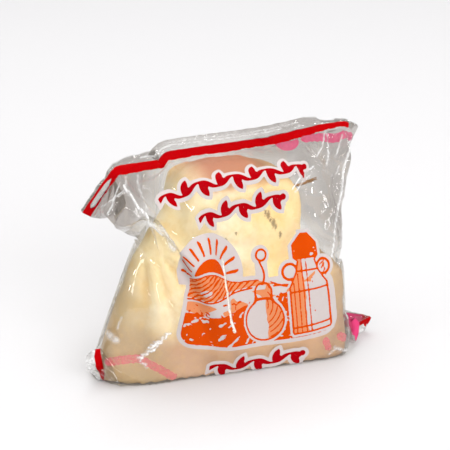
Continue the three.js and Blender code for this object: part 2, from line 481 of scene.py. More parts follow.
def along_path(stops, distances):
    """Points at these distances along a path, which is stretched to the flat width and rounded."""
    stops = np.array(stops, float)
    lengths = np.concatenate([[0], np.cumsum(np.linalg.norm(np.diff(stops, axis=0), axis=1))])
    lengths *= FLAT_WIDTH / lengths[-1]
    spread = np.linspace(-SEAL_ROUNDING, SEAL_ROUNDING, 9)
    near = np.clip(np.asarray(distances)[..., None] + spread, 0, FLAT_WIDTH)
    return np.stack([np.interp(near, lengths, stops[:, axis]).mean(-1) for axis in range(3)], -1)


def grid_normals(points):
    """Unit outward normals of a tube of points."""
    normals = np.cross(np.roll(points, -1, 1) - np.roll(points, 1, 1), np.gradient(points, axis=0))
    return normals / (np.linalg.norm(normals, axis=-1, keepdims=True) + 1e-9)


class Film:
    """The tube as rows of points from the bottom seal up, along the front to the right and back again."""

    def __init__(self, columns, rows):
        self.columns, self.rows = columns, rows
        place = np.arange(columns)
        half = columns // 2
        self.across = np.where(place <= half, place, columns - place) * (FLAT_WIDTH / half)
        self.facing = np.where(place % half == 0, 0, np.where(place < half, -1, 1))
        self.step_across = FLAT_WIDTH / half
        self.step_along = OPEN_LENGTH / rows
        self.points = np.zeros((rows + 1, columns, 3), np.float32)
        self.speed = np.zeros_like(self.points)
        self.free = np.ones((rows + 1, columns, 1), np.float32)
        self.free[[0, -1]] = 0

    def seals(self, settled):
        """Both seal rows, from flat at settled 0 to where they stand at 1."""
        flat = self.across - FLAT_WIDTH / 2
        ends = []
        for stops, height in ((FOOT_SEAL, FLOOR_GAP), (TOP_SEAL, OPEN_LENGTH)):
            start = np.stack([flat, 0 * flat, 0 * flat + height], -1)
            ends.append(start + (along_path(stops, self.across) - start) * settled)
        return ends

    def lay_flat(self, seed):
        foot, top = self.seals(0)
        share = np.linspace(0, 1, self.rows + 1)[:, None, None]
        self.points[:] = foot + (top - foot) * share
        bulge = np.sin(np.pi * share[..., 0]) * np.sin(np.pi * self.across / FLAT_WIDTH)
        self.points[..., 1] += self.facing * (0.3 + 3.0 * bulge)
        self.points += np.random.default_rng(seed).normal(0, 0.15, self.points.shape)

    def hold(self, first, second, rest, pull, push):
        """Moves pairs of points, given as two equal slices, towards their rest distance."""
        start, end = self.points[first], self.points[second]
        free_start, free_end = self.free[first], self.free[second]
        apart = end - start
        length = np.sqrt((apart * apart).sum(-1, keepdims=True)) + 1e-9
        excess = 1 - rest / length
        excess *= np.where(excess > 0, pull, push) / np.maximum(free_start + free_end, 1e-6)
        apart *= excess
        start += apart * free_start
        end -= apart * free_end

    def pairs_across(self, reach):
        """Slices that pair every column with the one reach further round, in sets that share no point."""
        for start in range(2 * reach):
            for shift in (0, self.columns):
                first = np.arange(start, self.columns, 2 * reach)
                inside = (first + reach < self.columns) == (shift == 0)
                if inside.any():
                    low, high = first[inside][0], first[inside][-1]
                    ahead = reach - shift
                    pair = (low, high), (low + ahead, high + ahead)
                    yield tuple(slice(start_at, end_at + 1, 2 * reach) for start_at, end_at in pair)

    def settle(self, settled, pressure, weight, bend):
        """One step: the film moves on, then its distances are restored and it is kept off the cheese."""
        before = self.points.copy()
        self.speed *= DAMPING
        self.speed += pressure * grid_normals(self.points)
        self.speed[..., 2] -= weight
        fastest = np.linalg.norm(self.speed, axis=-1, keepdims=True)
        self.speed *= np.minimum(1, TOP_SPEED / (fastest + 1e-9))
        self.points += self.speed * self.free
        self.points[0], self.points[-1] = self.seals(settled)
        every = slice(None)
        slant = np.hypot(self.step_across, self.step_along)
        for turn in range(PASSES):
            for left, right in self.pairs_across(1):
                self.hold((every, left), (every, right), self.step_across, *STRAIGHT_HOLD)
            for start in (0, 1):
                lower, upper = slice(start, self.rows, 2), slice(start + 1, self.rows + 1, 2)
                self.hold((lower, every), (upper, every), self.step_along, *STRAIGHT_HOLD)
                for left, right in self.pairs_across(1):
                    self.hold((lower, left), (upper, right), slant, *SLANT_HOLD)
                    self.hold((lower, right), (upper, left), slant, *SLANT_HOLD)
            for left, right in self.pairs_across(2):
                self.hold((every, left), (every, right), 2 * self.step_across, 0.0, bend)
            for start in range(4):
                last = self.rows - (self.rows - start - 2) % 4
                lower, upper = slice(start, last - 1, 4), slice(start + 2, last + 1, 4)
                self.hold((lower, every), (upper, every), 2 * self.step_along, 0.0, bend)
            if turn % 2:
                self.keep_clear(0.08 + 0.92 * settled)
        self.speed = self.points - before

    def keep_clear(self, opened):
        """Pushes the film out of the cheese, out of the wedges and up from the floor."""
        points = self.points
        near = (cheese_distance(points, opened) < FILM_GAP) & (self.free[..., 0] > 0)
        touching = points[near]
        distance, slope = cheese_slope(touching, opened)
        steepness = np.maximum((slope * slope).sum(-1), 0.05)
        points[near] = touching + slope * (np.clip(FILM_GAP - distance, 0, 4) / steepness)[:, None]
        pressed = eased(opened, 0.3, 0.95)
        for wedge in WEDGES:
            depth, way = depth_in_wedge(points, wedge, WEDGE_TRAVEL * (1 - pressed))
            inside = (depth > 0) & (self.free[..., 0] > 0) & (points[..., 2] > wedge[-1])
            move = (np.where(inside, np.minimum(depth, 2.0), 0)[..., None] * way).astype(np.float32)
            points += move[..., :1] * PRESS_ACROSS + move[..., 1:] * PRESS_UP
        inner = points[1:-1, :, 2]
        np.maximum(inner, FLOOR_GAP, out=inner)

    def refined(self):
        """The same film with a point added between every two, on a smooth curve through four."""
        fine = Film(self.columns * 2, self.rows * 2)
        points = self.points
        before, after, later = (np.roll(points, shift, 1) for shift in (1, -1, -2))
        wide = np.empty((self.rows + 1, self.columns * 2, 3), np.float32)
        wide[:, 0::2] = points
        wide[:, 1::2] = (9 * (points + after) - (before + later)) / 16
        ends = np.concatenate([2 * wide[:1] - wide[1:2], wide, 2 * wide[-1:] - wide[-2:-1]])
        fine.points[0::2] = wide
        fine.points[1::2] = (9 * (ends[1:-2] + ends[2:-1]) - (ends[:-3] + ends[3:])) / 16
        return fine


def printed(across, along):
    """1 where the film carries the print, easing to 0 around it."""
    level = 1.0
    for value, (start, full, last, end) in ((across, PRINTED_ACROSS), (along, PRINTED_ALONG)):
        level = level * eased(value, start, full) * (1 - eased(value, last, end))
    return level


def iron_print(film):
    """Evens out the front film under the print, whose ink keeps it stiff."""
    along = np.arange(film.rows + 1) * film.step_along
    stiff = (printed(film.across, along[:, None]) * (film.facing < 0))[1:-1, :, None]
    for _ in range(IRON_PASSES):
        points = film.points
        around = (np.roll(points, 1, 1) + np.roll(points, -1, 1))[1:-1] + points[2:] + points[:-2]
        points[1:-1] += 0.5 * stiff * (around / 4 - points[1:-1])
        film.keep_clear(1.0)


def settled_film():
    film = Film(COLUMNS, ROWS)
    film.lay_flat(FILM_SEED)
    for number, (steps, *forces) in enumerate(STAGES):
        if number > 1:
            film = film.refined()
        if number == 2 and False:
            steps = QUICK_STEPS
        for count in range(steps):
            film.settle(1.0 if number else (count + 1) / steps, *forces)
    iron_print(film)
    return film


film = settled_film()


# The seals: beyond its inner edge each seal is a flat strip of two fused layers of film, crimped and limp.
# The top strip stands up and folds back at its ends. The foot strip lies under the base but for its ears.
STRIP_WIDTH = 11.0
STRIP_ROWS = 16
STRIPE_WIDTH = 4.8
LAYER_GAP = 0.3  # from the middle of a strip to each layer
LOWEST_FILM = 0.2  # above the floor
TOP_LEANS = (  # distance along the seal, then the strip's lean back in degrees, at its root and beyond
    (0, 10, 150),
    (22, 10, 140),
    (30, 10, 100),
    (50, 8, 60),
    (66, 5, 35),
    (90, 3, 12),
    (120, 2, 6),
    (140, 2, 20),
    (160, 5, 120),
    (178, 5, 150),
)
FOOT_LEANS = (
    (0, 160, 165),
    (14, 158, 158),
    (26, 90, 90),
    (144, 88, 88),
    (157, 130, 130),
    (165, 180, 175),
    (178, 180, 170),
)
EAR_LENGTH = 20.0  # how much of each end of the foot strip stands out as a crumpled ear
EAR_SHARES = (  # distance along the seal, then how much of the strip's width is left there
    (0, 0.5),
    (4, 0.75),
    (11, 0.8),
    (20, 0.35),
    (24, 1.0),
    (168, 1.0),
    (178, 0.9),
)


def strip_rows(seal, across, facing, leans, ears):
    """Rows of strip points from a seal's inner edge to its free edge, the layers held apart."""
    ahead = along_path(seal, np.minimum(across + 1, FLAT_WIDTH))
    behind = along_path(seal, np.maximum(across - 1, 0))
    tangent = ahead - behind
    tangent /= np.linalg.norm(tangent, axis=1, keepdims=True)
    places, roots, tips = (np.array(column, float) for column in zip(*leans))
    root = np.radians(np.interp(across, places, roots))
    tip = np.radians(np.interp(across, places, tips))
    rise = np.stack([-tangent[:, 2], 0 * root, tangent[:, 0]], -1)
    front = np.cross(tangent, rise)
    ear = ears * (1 - eased(np.minimum(across, FLAT_WIDTH - across), 0.3 * EAR_LENGTH, EAR_LENGTH))[:, None]
    share = np.interp(across, *zip(*EAR_SHARES)) if ears else np.ones_like(across)
    step = STRIP_WIDTH / STRIP_ROWS * share[:, None]
    outward = 1 - 2 * ears  # the foot strip runs the other way from its seal
    place = along_path(seal, across)
    rows = []
    for count in range(STRIP_ROWS + 1):
        bent = eased((count + 0.5) * STRIP_WIDTH / STRIP_ROWS, STRIPE_WIDTH - 1, STRIPE_WIDTH + 3)
        lean = (root + (tip - root) * bent)[:, None]
        level = rise * np.sin(lean) + front * np.cos(lean)
        row = place - level * facing[:, None] * LAYER_GAP * outward
        crimp = ripples(place, 7.0, 5, 2)[:, None] * (1.2 + 1.6 * ear) * count / STRIP_ROWS
        rows.append(row + level * crimp)
        place = place + (rise * np.cos(lean) - front * np.sin(lean)) * step
    rows = np.array(rows)
    rows[..., 2] = np.maximum(rows[..., 2], LOWEST_FILM)
    return rows


def whole_film():
    """Film points from the foot strip to the top strip, and the distance of each row along the film."""
    top = strip_rows(TOP_SEAL, film.across, film.facing, TOP_LEANS, 0)
    foot = strip_rows(FOOT_SEAL, film.across, film.facing, FOOT_LEANS, 1)
    rows = np.concatenate([foot[::-1], film.points[1:-1], top])
    beyond = np.arange(STRIP_ROWS + 1) * (STRIP_WIDTH / STRIP_ROWS)
    inner = np.arange(1, film.rows) * film.step_along
    return rows, np.concatenate([-beyond[::-1], inner, OPEN_LENGTH + beyond])


film_rows, film_along = whole_film()
FACETS = (  # width of the flat facets, how far their edges stand up, seed
    (19.0, 1.2, 21),
    (8.5, 0.5, 22),
    (5.0, 0.28, 23),
)
EDGE_REACH, EDGE_FADE = 0.36, 0.3  # of a facet's width: how wide its edges are, and how they end at corners


def facet_edges(size, seed):
    """How near each film point is to an edge between random facets, 1 on it, times that edge's strength."""
    draw = np.random.default_rng(seed)
    low, high = film_along[0], film_along[-1]
    count = int(2 * FLAT_WIDTH * (high - low) / size**2)
    spots = draw.uniform((0, low), (2 * FLAT_WIDTH, high), (count, 2))
    strengths = draw.uniform(-0.6, 1.0, 997)
    tree = kdtree.KDTree(3 * count)
    for turn in (-1, 0, 1):
        for index, (across, along) in enumerate(spots):
            tree.insert((across + turn * 2 * FLAT_WIDTH, along, 0), index)
    tree.balance()
    edges = np.zeros(film_rows.shape[:2])
    for row, along in enumerate(film_along.tolist()):
        for column in range(film.columns):
            nearest, second, third = tree.find_n((column * film.step_across, along, 0), 3)
            apart = (second[0] - nearest[0]).length
            edge = (second[2] ** 2 - nearest[2] ** 2) / (2 * apart)
            fade = min(1.0, (third[2] - second[2]) / (EDGE_FADE * size))
            strength = strengths[(nearest[1] * second[1] + nearest[1] + second[1]) % len(strengths)]
            edges[row, column] = strength * fade * max(0.0, 1 - edge / (EDGE_REACH * size))
    return edges


def zigzag(start, end, turns, swing):
    """Stops from start to end that step from side to side."""
    start, end = np.array(start, float), np.array(end, float)
    aside = np.array([start[1] - end[1], end[0] - start[0]]) / np.hypot(*(end - start))
    steps = np.arange(turns + 1)
    return start + (end - start) * (steps / turns)[:, None] + aside * (swing * (-1.0) ** steps)[:, None]


HIGHLIGHT_CREASE = ((74.8, 94), (73.8, 84.8), (73.8, 72.1), (74.8, 61.4), (77.9, 53.6))  # through the picture, bared of its ink so that the film's white shows there as a painted highlight
CREASES = (  # height, half width and how white, which is crease whitening with a painted highlight along it, then flat places on the front film
    (1.0, 0.95, 0.8, ((28.3, 148), (29.3, 138.4), (29.3, 132.6), (31.4, 126.8), (31.6, 121.5))),
    (0.8, 1.8, 0.7, ((31.6, 121.5), (33.0, 119.0), (37.0, 115.0))),
    (0.8, 2.2, 0.9, ((26.6, 108.4), (30.3, 105.2), (35.4, 100.6))),
    (0.4, 1.6, 0.7, ((29.0, 110.5), (33.0, 108.0), (37.5, 102.5))),
    (0.3, 3.4, 0.9, ((31.2, 121.0), (30.2, 112.0), (30.6, 104.0), (34.6, 97.5))),
    (0.2, 1.6, 0.35, ((7, 158.4), (26, 158.4))),
    (0.6, 0.9, 0.8, ((35.4, 100.6), (37.4, 98.5), (40.5, 94.6), (44.5, 90.7), (45.6, 86.0))),
    (0.7, 0.85, 1.0, zigzag((26.3, 31.2), (31.6, 38.0), 5, 0.9)),
    (0.9, 1.0, 1.0, zigzag((31.6, 38.0), (34.8, 43.4), 5, 1.5)),
    (0.7, 0.85, 0.9, zigzag((34.8, 43.4), (39.6, 49.2), 5, 1.0)),
    (0.4, 0.8, 0.6, zigzag((26.3, 31.2), (31.4, 27.6), 3, 0.6)),
    (0.5, 1.4, 0.9, HIGHLIGHT_CREASE),
    (0.7, 0.95, 0.75, ((175, 151.5), (164.9, 139.4), (158.8, 130.7), (154.7, 119.9), (149.7, 110.2))),
    (0.6, 0.8, 0.6, ((149.7, 110.2), (146.6, 102.4), (144.6, 94.6), (141.6, 85.8))),
    (0.5, 0.9, 0.8, ((140.6, 136.5), (131.5, 133.6), (125.4, 129.7), (121.4, 125.8))),
    (0.5, 0.8, 0.7, ((136.5, 131.6), (128.6, 128.6), (122.6, 123.6))),
    (0.6, 0.85, 0.6, ((155.5, 155.5), (149.7, 147.2), (143.6, 142.3))),
    (0.6, 0.8, 0.6, ((157.0, 155.5), (154.7, 143.3), (151.0, 136.0))),
    (0.5, 0.8, 0.5, ((166.0, 152.0), (158.0, 140.0))),
    (0.6, 0.8, 0.5, ((27.3, 151.5), (18.2, 142.3), (13.0, 139.5))),
    (0.6, 0.8, 0.5, ((28.3, 145.3), (19.0, 145.0), (12.1, 147.2))),
    (0.5, 0.8, 0.4, ((32.4, 154), (28.3, 146))),
    (0.5, 0.8, 0.4, ((39.4, 154), (36.4, 139.4), (33.0, 130.0))),
    (0.4, 0.8, 0.55, ((12.1, 43.9), (13.0, 50.0))),
    (0.3, 3.0, 0.5, ((6, 39.5), (12.5, 37.5))),
    (0.5, 0.9, 0.8, ((135.5, 32.8), (139.6, 29.2), (143.0, 25.6))),
    (0.4, 0.8, 0.6, ((132.0, 30.0), (136.5, 32.2))),
    (0.2, 0.8, 0.45, ((42, 163.2), (128, 163.4))),
    (0.2, 0.8, 0.35, ((60, 165.2), (140, 165.0))),
)


def near_path(across, along, stops):
    """Distance of flat places from a path through stops."""
    nearest = np.full(across.shape, np.inf)
    for (x, y), (end_x, end_y) in zip(stops, stops[1:]):
        run, rise = end_x - x, end_y - y
        share = np.clip(((across - x) * run + (along - y) * rise) / (run * run + rise * rise), 0, 1)
        nearest = np.minimum(nearest, np.hypot(across - x - share * run, along - y - share * rise))
    return nearest


PAINTED_LIGHT_SPOT = np.array([-47.0, -26.0, 88.0])  # where the film is made clearer beside the head, painted light on the cheese behind it
PRINT_LEFT = -36.0  # where the print starts, which the soft folds stop short of
TOP_HAZE, FOOT_HAZE_AND_LIGHT = 0.06, 0.65  # how white the crimped strips are: the milky look of the crimp, and on the foot strip also painted light over its shade
LOOK_IN = 14.0  # how deep behind the film the cheese still counts as close
CLEAR_ACROSS, CLEAR_HEIGHT = (-38, -28, -4, 8), (98, 104, 112, 116)  # where the film is made clearer over the dome, painted light on the head's top


def plateau(value, start, full, last, end):
    """1 from full to last, easing to 0 at start and end."""
    return eased(value, start, full) * (1 - eased(value, last, end))


def crumpled():
    """The film with facets where it is loose, creases and soft folds, and how white it is made along them:
    crease whitening and the milky look of crimps, with painted highlights and painted light.
    """
    relief = 0.7 * waist_folds(film_rows) * eased(-film_rows[..., 1], 0, 8)
    relief *= 1 - eased(film_rows[..., 0], PRINT_LEFT - 12, PRINT_LEFT)
    whitening_and_painted_light = np.zeros_like(relief)
    across, along = np.meshgrid(np.arange(film.columns) * film.step_across, film_along)
    slack = eased(cheese_distance(film_rows), 1.5, 7.0) * (1 - 0.75 * printed(across, along))
    for size, height, seed in FACETS:
        edges = facet_edges(size, seed) * (0.12 + 0.88 * slack)
        relief += height * edges
        # painted highlights along the facet edges, with the white of crinkled film
        whitening_and_painted_light += eased(edges, 0.68, 1.0) * 0.45
    for height, width, white_and_highlight, stops in CREASES:
        ridge = np.maximum(0, 1 - near_path(across, along, stops) / width)
        relief += height * ridge
        # a crease's white is crease whitening with a painted highlight along it
        whitening_and_painted_light = np.maximum(whitening_and_painted_light, white_and_highlight * eased(ridge, 0.1, 0.8))
    in_strip = (film_along < 0) | (film_along > OPEN_LENGTH)
    # the strips' white: the milky look of the crimp, and on the foot strip also painted light over its
    # shade
    haze_and_painted_light = np.where(film_along < 0, FOOT_HAZE_AND_LIGHT, TOP_HAZE)[in_strip]
    mottled = ripples(film_rows[in_strip].reshape(-1, 3), 3.0, 6).reshape(in_strip.sum(), -1)
    whitening_and_painted_light[in_strip] = np.maximum(whitening_and_painted_light[in_strip], haze_and_painted_light[:, None] * (1 + 0.6 * mottled))
    off_seal = np.minimum(np.abs(film_along), np.abs(film_along - OPEN_LENGTH))
    relief *= eased(off_seal, 0, 5)[:, None]
    back = np.arange(film.columns // 2 + 1, film.columns)
    relief[np.ix_(in_strip, back)] = -relief[np.ix_(in_strip, film.columns - back)]
    rows = film_rows + grid_normals(film_rows) * relief[..., None]
    rows[..., 2] = np.maximum(rows[..., 2], LOWEST_FILM)
    return rows, whitening_and_painted_light


def standing_off():
    """How free the film stands: 0 where it clings or the cheese is close behind it, 1 where nothing is,
    lower in a few places as painted light.
    """
    across, height = film_rows[..., 0], film_rows[..., 2]
    inward = np.zeros((film.columns, 3))
    inward[:, 1] = -LOOK_IN * film.facing
    free = eased(cheese_distance(film_rows + inward), -2, 3)
    # painted light: the film made clearer beside the head, over the dome and at the upper right, so that
    # what lies behind shows brighter
    free *= eased(np.linalg.norm(film_rows - PAINTED_LIGHT_SPOT, axis=-1), 14, 26)
    free *= 1 - plateau(across, *CLEAR_ACROSS) * plateau(height, *CLEAR_HEIGHT)
    free *= 1 - 0.35 * eased(across, 40, 60) * eased(height, 75, 95)
    past_dome = 0.8 * eased(across, 2, 12) * eased(height, 103, 109)
    return np.maximum(eased(cheese_distance(film_rows), 3.5, 11.0) * free, past_dome)


film_loose = standing_off()
film_rows, film_whitening_and_painted_light = crumpled()
CLINGING_TINT, STANDING_TINT = (0.87, 0.86, 0.835, 1.0), (0.675, 0.65, 0.625, 1.0)


def film_material():
    place, finish = new_material("clear_film")
    facing = place.add("ShaderNodeLayerWeight", {}, {"Blend": 0.5}, output="Facing")
    loose, whitening_and_painted_light = place.attribute("loose"), place.attribute("whitening_and_painted_light")
    ripple = (place.noise(5.0, 4.0, 0.6) * (0.15 + loose)).bump(0.35, 1.2)
    broken = whitening_and_painted_light * (0.6 + 0.5 * place.noise(2.4, 4.0, 0.7).between(0.4, 0.6))
    clinging = place.add("ShaderNodeBsdfTransparent", {}, {"Color": CLINGING_TINT})
    standing = place.add("ShaderNodeBsdfTransparent", {}, {"Color": STANDING_TINT})
    clear = place.blend(loose, clinging, standing)
    shine = {"Color": (1, 1, 1, 1), "Roughness": 0.06, "Normal": ripple}
    glossy = place.blend(0.07 + 0.75 * facing**4.0, clear, place.add("ShaderNodeBsdfGlossy", {}, shine))
    # a white matte layer where the film is white: crease whitening and the milky look of crimps, partly
    # painted highlight and painted light
    haze_and_painted_light = {"Base Color": srgb(220, 220, 220), "Roughness": 0.3}
    return finish(place.blend(broken, glossy, place.add("ShaderNodeBsdfPrincipled", {}, haze_and_painted_light)))


def film_piece():
    rows, columns = film_rows.shape[:2]
    index = np.arange(rows * columns).reshape(rows, columns)
    right = np.roll(index, -1, 1)
    faces = np.stack([index[:-1], right[:-1], right[1:], index[1:]], -1).reshape(-1, 4)
    piece = new_piece("film_bag", film_rows.reshape(-1, 3), faces.tolist(), film_material())
    for name, values in (("loose", film_loose), ("whitening_and_painted_light", film_whitening_and_painted_light)):
        piece.data.attributes.new(name, "FLOAT", "POINT").data.foreach_set("value", values.ravel())
    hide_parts("provola_bag")


film_piece()


# The stripes: a red band printed on the film along every seal, whose back shows pink through the bag.
# Each ink is a sheet of its own that follows the film: where a drawing is below zero there is ink.
INK_CELL = 0.5
INK_LIFT, PALE_LIFT, BACKING_LIFT = 0.2, 0.15, 0.1  # above the film's outer face


def film_places(across, along, side, lift):
    """Points at flat places on the front, side -1, or the back, side 1, that far off the film."""
    count = film_rows.shape[1]
    column = (across if side < 0 else 2 * FLAT_WIDTH - across) / film.step_across
    row = np.clip(np.interp(along, film_along, np.arange(len(film_along))), 0, len(film_along) - 1.001)
    low_row, low_column = np.floor(row).astype(int), np.floor(column).astype(int)
    up, over = (row - low_row)[:, None], (column - low_column)[:, None]
    found = []
    for grid in (film_rows, film_normals):
        corners = [grid[low_row + i, (low_column + j) % count] for i in (0, 1) for j in (0, 1)]
        low = corners[0] * (1 - over) + corners[1] * over
        high = corners[2] * (1 - over) + corners[3] * over
        found.append(low * (1 - up) + high * up)
    points, normals = found
    return points + normals / np.linalg.norm(normals, axis=1, keepdims=True) * lift


def at_least(*levels):
    """Where any of these drawings has ink."""
    return np.minimum.reduce(np.broadcast_arrays(*levels))


def within(*levels):
    """Where all of these drawings have ink."""
    return np.maximum.reduce(np.broadcast_arrays(*levels))


def disc(x, y, middle, radius):
    return np.hypot(x - middle[0], y - middle[1]) - radius


def inked(drawing, low, high, side, lift):
    """Points and faces of a drawing's ink between two corners of the flat film, cut true at its edges."""
    across, along = np.meshgrid(*(np.arange(low[axis], high[axis], INK_CELL) for axis in (0, 1)))
    level = drawing(across, along)
    ink = level < 0
    corner = np.where(ink, np.cumsum(ink).reshape(ink.shape) - 1, -1)
    places = [np.stack([across[ink], along[ink]], -1)]
    made = int(ink.sum())
    cuts = []
    for axis, near, far in ((1, np.s_[:, :-1], np.s_[:, 1:]), (0, np.s_[:-1], np.s_[1:])):
        crossed = ink[near] != ink[far]
        share = level[near][crossed] / (level[near][crossed] - level[far][crossed])
        start = np.stack([across[near][crossed], along[near][crossed]], -1)
        start[:, 1 - axis] += share * INK_CELL
        places.append(start)
        cuts.append(np.where(crossed, np.cumsum(crossed).reshape(crossed.shape) - 1 + made, -1))
        made += int(crossed.sum())
    level_cut, upright_cut = cuts
    lower = [corner[:-1, :-1], level_cut[:-1], corner[:-1, 1:], upright_cut[:, 1:]]
    upper = [corner[1:, 1:], level_cut[1:], corner[1:, :-1], upright_cut[:, :-1]]
    ring = np.stack(lower + upper, -1).reshape(-1, 8)
    faces = [[index for index in cell if index >= 0] for cell in ring[(ring >= 0).any(1)].tolist()]
    faces = [face if side < 0 else face[::-1] for face in faces if len(face) > 2]
    places = np.concatenate(places)
    return film_places(places[:, 0], places[:, 1], side, lift), faces


def ink_material(name, colour, thin):
    """Ink with a slight mottle, turned towards its thin colour in places."""
    place, finish = new_material(name)
    mottle = place.noise(1.2, 4.0, 0.65).between(0.35, 0.75)
    values = {
        "Base Color": (mottle * 0.35).mix(colour, thin),
        "Roughness": 0.22 + 0.15 * mottle,
        "Specular IOR Level": 0.03,
        "Normal": place.noise(4.0, 3.0).bump(0.15, 0.5),
    }
    return finish(place.add("ShaderNodeBsdfPrincipled", {}, values))


film_normals = grid_normals(film_rows)
WING_FOLD = 27.0  # up to here the hanging corner's stripe is folded lengthwise, and bare along the fold, where the film's white shows as a painted highlight
GLINT_GAP_WIDTH = 2.9
EAR_BACK = (156.0, 171.0)  # where the right ear's stripe is turned away, so that its pink back shows
STRIPE_END = 171.0  # beyond its rounded end here the top stripe is turned in
END_THINNING, END_RISE = 0.9, 0.6  # of the top stripe towards that end


def stripe(low, width):
    """A band whose width wanders. The top one is bare along its fold, where the film's white shows as a
    painted highlight, and thins to a rounded end.
    """

    def drawing(across, along):
        wander = 0.35 * np.sin(across * 0.21 + 1.0) + 0.2 * np.sin(across * 0.83)
        wander += 0.1 * np.sin(across * 2.3)
        thinned = eased(across, 134, 162) if low > 0 else 0
        off_line = np.abs(along - low - width / 2 - END_RISE * thinned + 0.5 * wander)
        band = off_line - width / 2 + END_THINNING * thinned - 0.4 * wander
        if low < 0:
            return band
        off_middle = np.abs(along - low - 0.5 * width)
        bare = off_middle - GLINT_GAP_WIDTH / 2 * eased(across, 4, 7) * (1 - eased(across, 20, WING_FOLD))
        end = np.hypot(np.maximum(across - STRIPE_END + width / 2, 0), off_middle) - width / 2
        return within(band, -bare, np.where(across > STRIPE_END - width / 2, end, -1))

    return drawing


def ear_pink(across, along):
    """The right ear's stripe where it lies gathered in folds, seen from its back."""
    wander = 0.8 * np.sin(along * 0.9) + 0.6 * np.sin(across * 1.3 + along)
    return within(np.abs(across - 164.5) - 6.5, np.abs(along - 6.5) - 13.5) + wander


def ear_red(across, along):
    """The tip of the same stripe, seen from its front."""
    wander = 0.5 * np.sin(along * 1.1) + 0.5 * np.sin(across * 1.7)
    return within(np.abs(across - 173.0) - 3.6, np.abs(along - 1.0) - 7.0) + wander


def stripe_sheets(lift):
    sheets = []
    for low in (OPEN_LENGTH, -STRIPE_WIDTH):
        for side in (-1, 1):
            band = stripe(low, STRIPE_WIDTH)
            ends = [(0.3, FLAT_WIDTH)]
            if low < 0 and side < 0 and lift == INK_LIFT:
                ends = [(0.3, EAR_BACK[0]), (EAR_BACK[1], FLAT_WIDTH)]
            for start, end in ends:
                sheets.append(inked(band, (start, low - 1), (end, low + STRIPE_WIDTH + 1), side, lift))
    ear = ear_pink if lift == BACKING_LIFT else ear_red
    sheets.append(inked(ear, (150, -9), (FLAT_WIDTH, 24), -1, lift))
    return joined(sheets)


TURNED_IN = ((2.6, ((141.6, 154.6), (149.7, 153.4), (162.8, 151.6), (175.0, 153.6))),)
SHOWN_THROUGH = (  # half width and flat places where a folded stripe shows through the front from inside
    (2.3, ((10.1, 24.6), (18.2, 28.3), (27.0, 31.6))),
    (2.2, ((27.6, 31.2), (33.4, 29.4), (39.4, 27.3), (47.0, 23.8))),
    (1.8, ((131.3, 38.6), (132.2, 34.0))),
    (2.0, ((139.6, 37.6), (142.2, 34.6))),
)


def bands(paths):
    """A drawing of bands along paths, with uneven edges."""

    def drawing(across, along):
        parts = [near_path(across, along, stops) - half_width for half_width, stops in paths]
        return at_least(*parts) + 0.3 * np.sin(across * 1.9) * np.sin(along * 1.3)

    return drawing


def turned_in(across, along):
    """The top stripe's right end, turned in behind the film, and a half-round flap of it."""
    flap = within(disc(across, along, (130.5, 156.5), 7.2), along - OPEN_LENGTH)
    return at_least(flap, bands(TURNED_IN)(across, along))


def thin_ink_material(name, colour, least):
    """Ink seen from its back through the film, least its lowest opacity. A little shows through it."""
    place, finish = new_material(name)
    mottle = place.noise(2.0, 4.0, 0.6)
    clear = place.add("ShaderNodeBsdfTransparent", {}, {"Color": (1.0, 1.0, 1.0, 1.0)})
    ink = place.add("ShaderNodeBsdfPrincipled", {}, {"Base Color": colour, "Roughness": 0.4})
    return finish(place.blend(least + 0.4 * mottle, clear, ink))


stripe_red = ink_material("stripe_red", srgb(163, 0, 4), srgb(148, 0, 3))
stripe_pink = ink_material("stripe_pink", srgb(190, 58, 104), srgb(178, 50, 92))
stripes = new_piece("seal_stripes", *stripe_sheets(INK_LIFT), stripe_red)
stripe_backs = new_piece("seal_stripe_backs", *stripe_sheets(BACKING_LIFT), stripe_pink)
shown_sheets = inked(bands(SHOWN_THROUGH), (0.5, 10.0), (150.0, 50.0), -1, -INK_LIFT)
thin_pink = thin_ink_material("thin_pink", srgb(226, 84, 118), 0.3)
shown_stripes = new_piece("folded_stripes", *shown_sheets, thin_pink)
turned_sheets = inked(turned_in, (120.0, 145.0), (177.0, 158.0), -1, -INK_LIFT)
deep_pink = thin_ink_material("deep_pink", srgb(238, 84, 142), 0.6)
turned_stripes = new_piece("turned_stripes", *turned_sheets, deep_pink)


# The print: a red leaf scroll above and below an orange picture of sunlit hills, all edged with white.
# It is printed on the front film, the white first and then the colours on it.
WHITE_EDGE = 1.9


def leaf(x, y, root, angle, length, width):
    """A pointed leaf from its root: where two discs overlap."""
    along, aside = turned(x - root[0], y - root[1], angle)
    along = along - length / 2
    radius = (length * length / 4 + width * width / 4) / width
    return within(*[disc(along, aside, (0, side * (radius - width / 2)), radius) for side in (1, -1)])


def scroll(start, end, leaves):
    """A waved stem between two places with leaves on both sides and a bud at its end."""
    start, end = np.array(start, float), np.array(end, float)
    length = np.hypot(*(end - start))
    slope = np.degrees(np.arctan2(*(end - start)[::-1]))
    pitch = length / leaves

    def drawing(across, along):
        x, y = turned(across - start[0], along - start[1], slope)
        wave = 1.9 * np.sin(np.pi * x / pitch)
        stem = np.abs(y - wave) * 0.9 - 0.95 - 0.4 * np.cos(2 * np.pi * x / pitch)
        parts = [within(stem, -x, x - length), disc(x, y, (length + 1.0, 0.6), 1.7)]
        for count in range(leaves):
            side = 1 if count % 2 else -1
            root = ((count + 0.5) * pitch, -side * 1.4)
            parts.append(leaf(x, y, root, 62 * side, 8.4, 3.8))
            parts.append(leaf(x, y, (root[0] + 0.45 * pitch, -side * 0.6), 128 * side, 5.0, 2.6))
        return at_least(*parts)

    return drawing


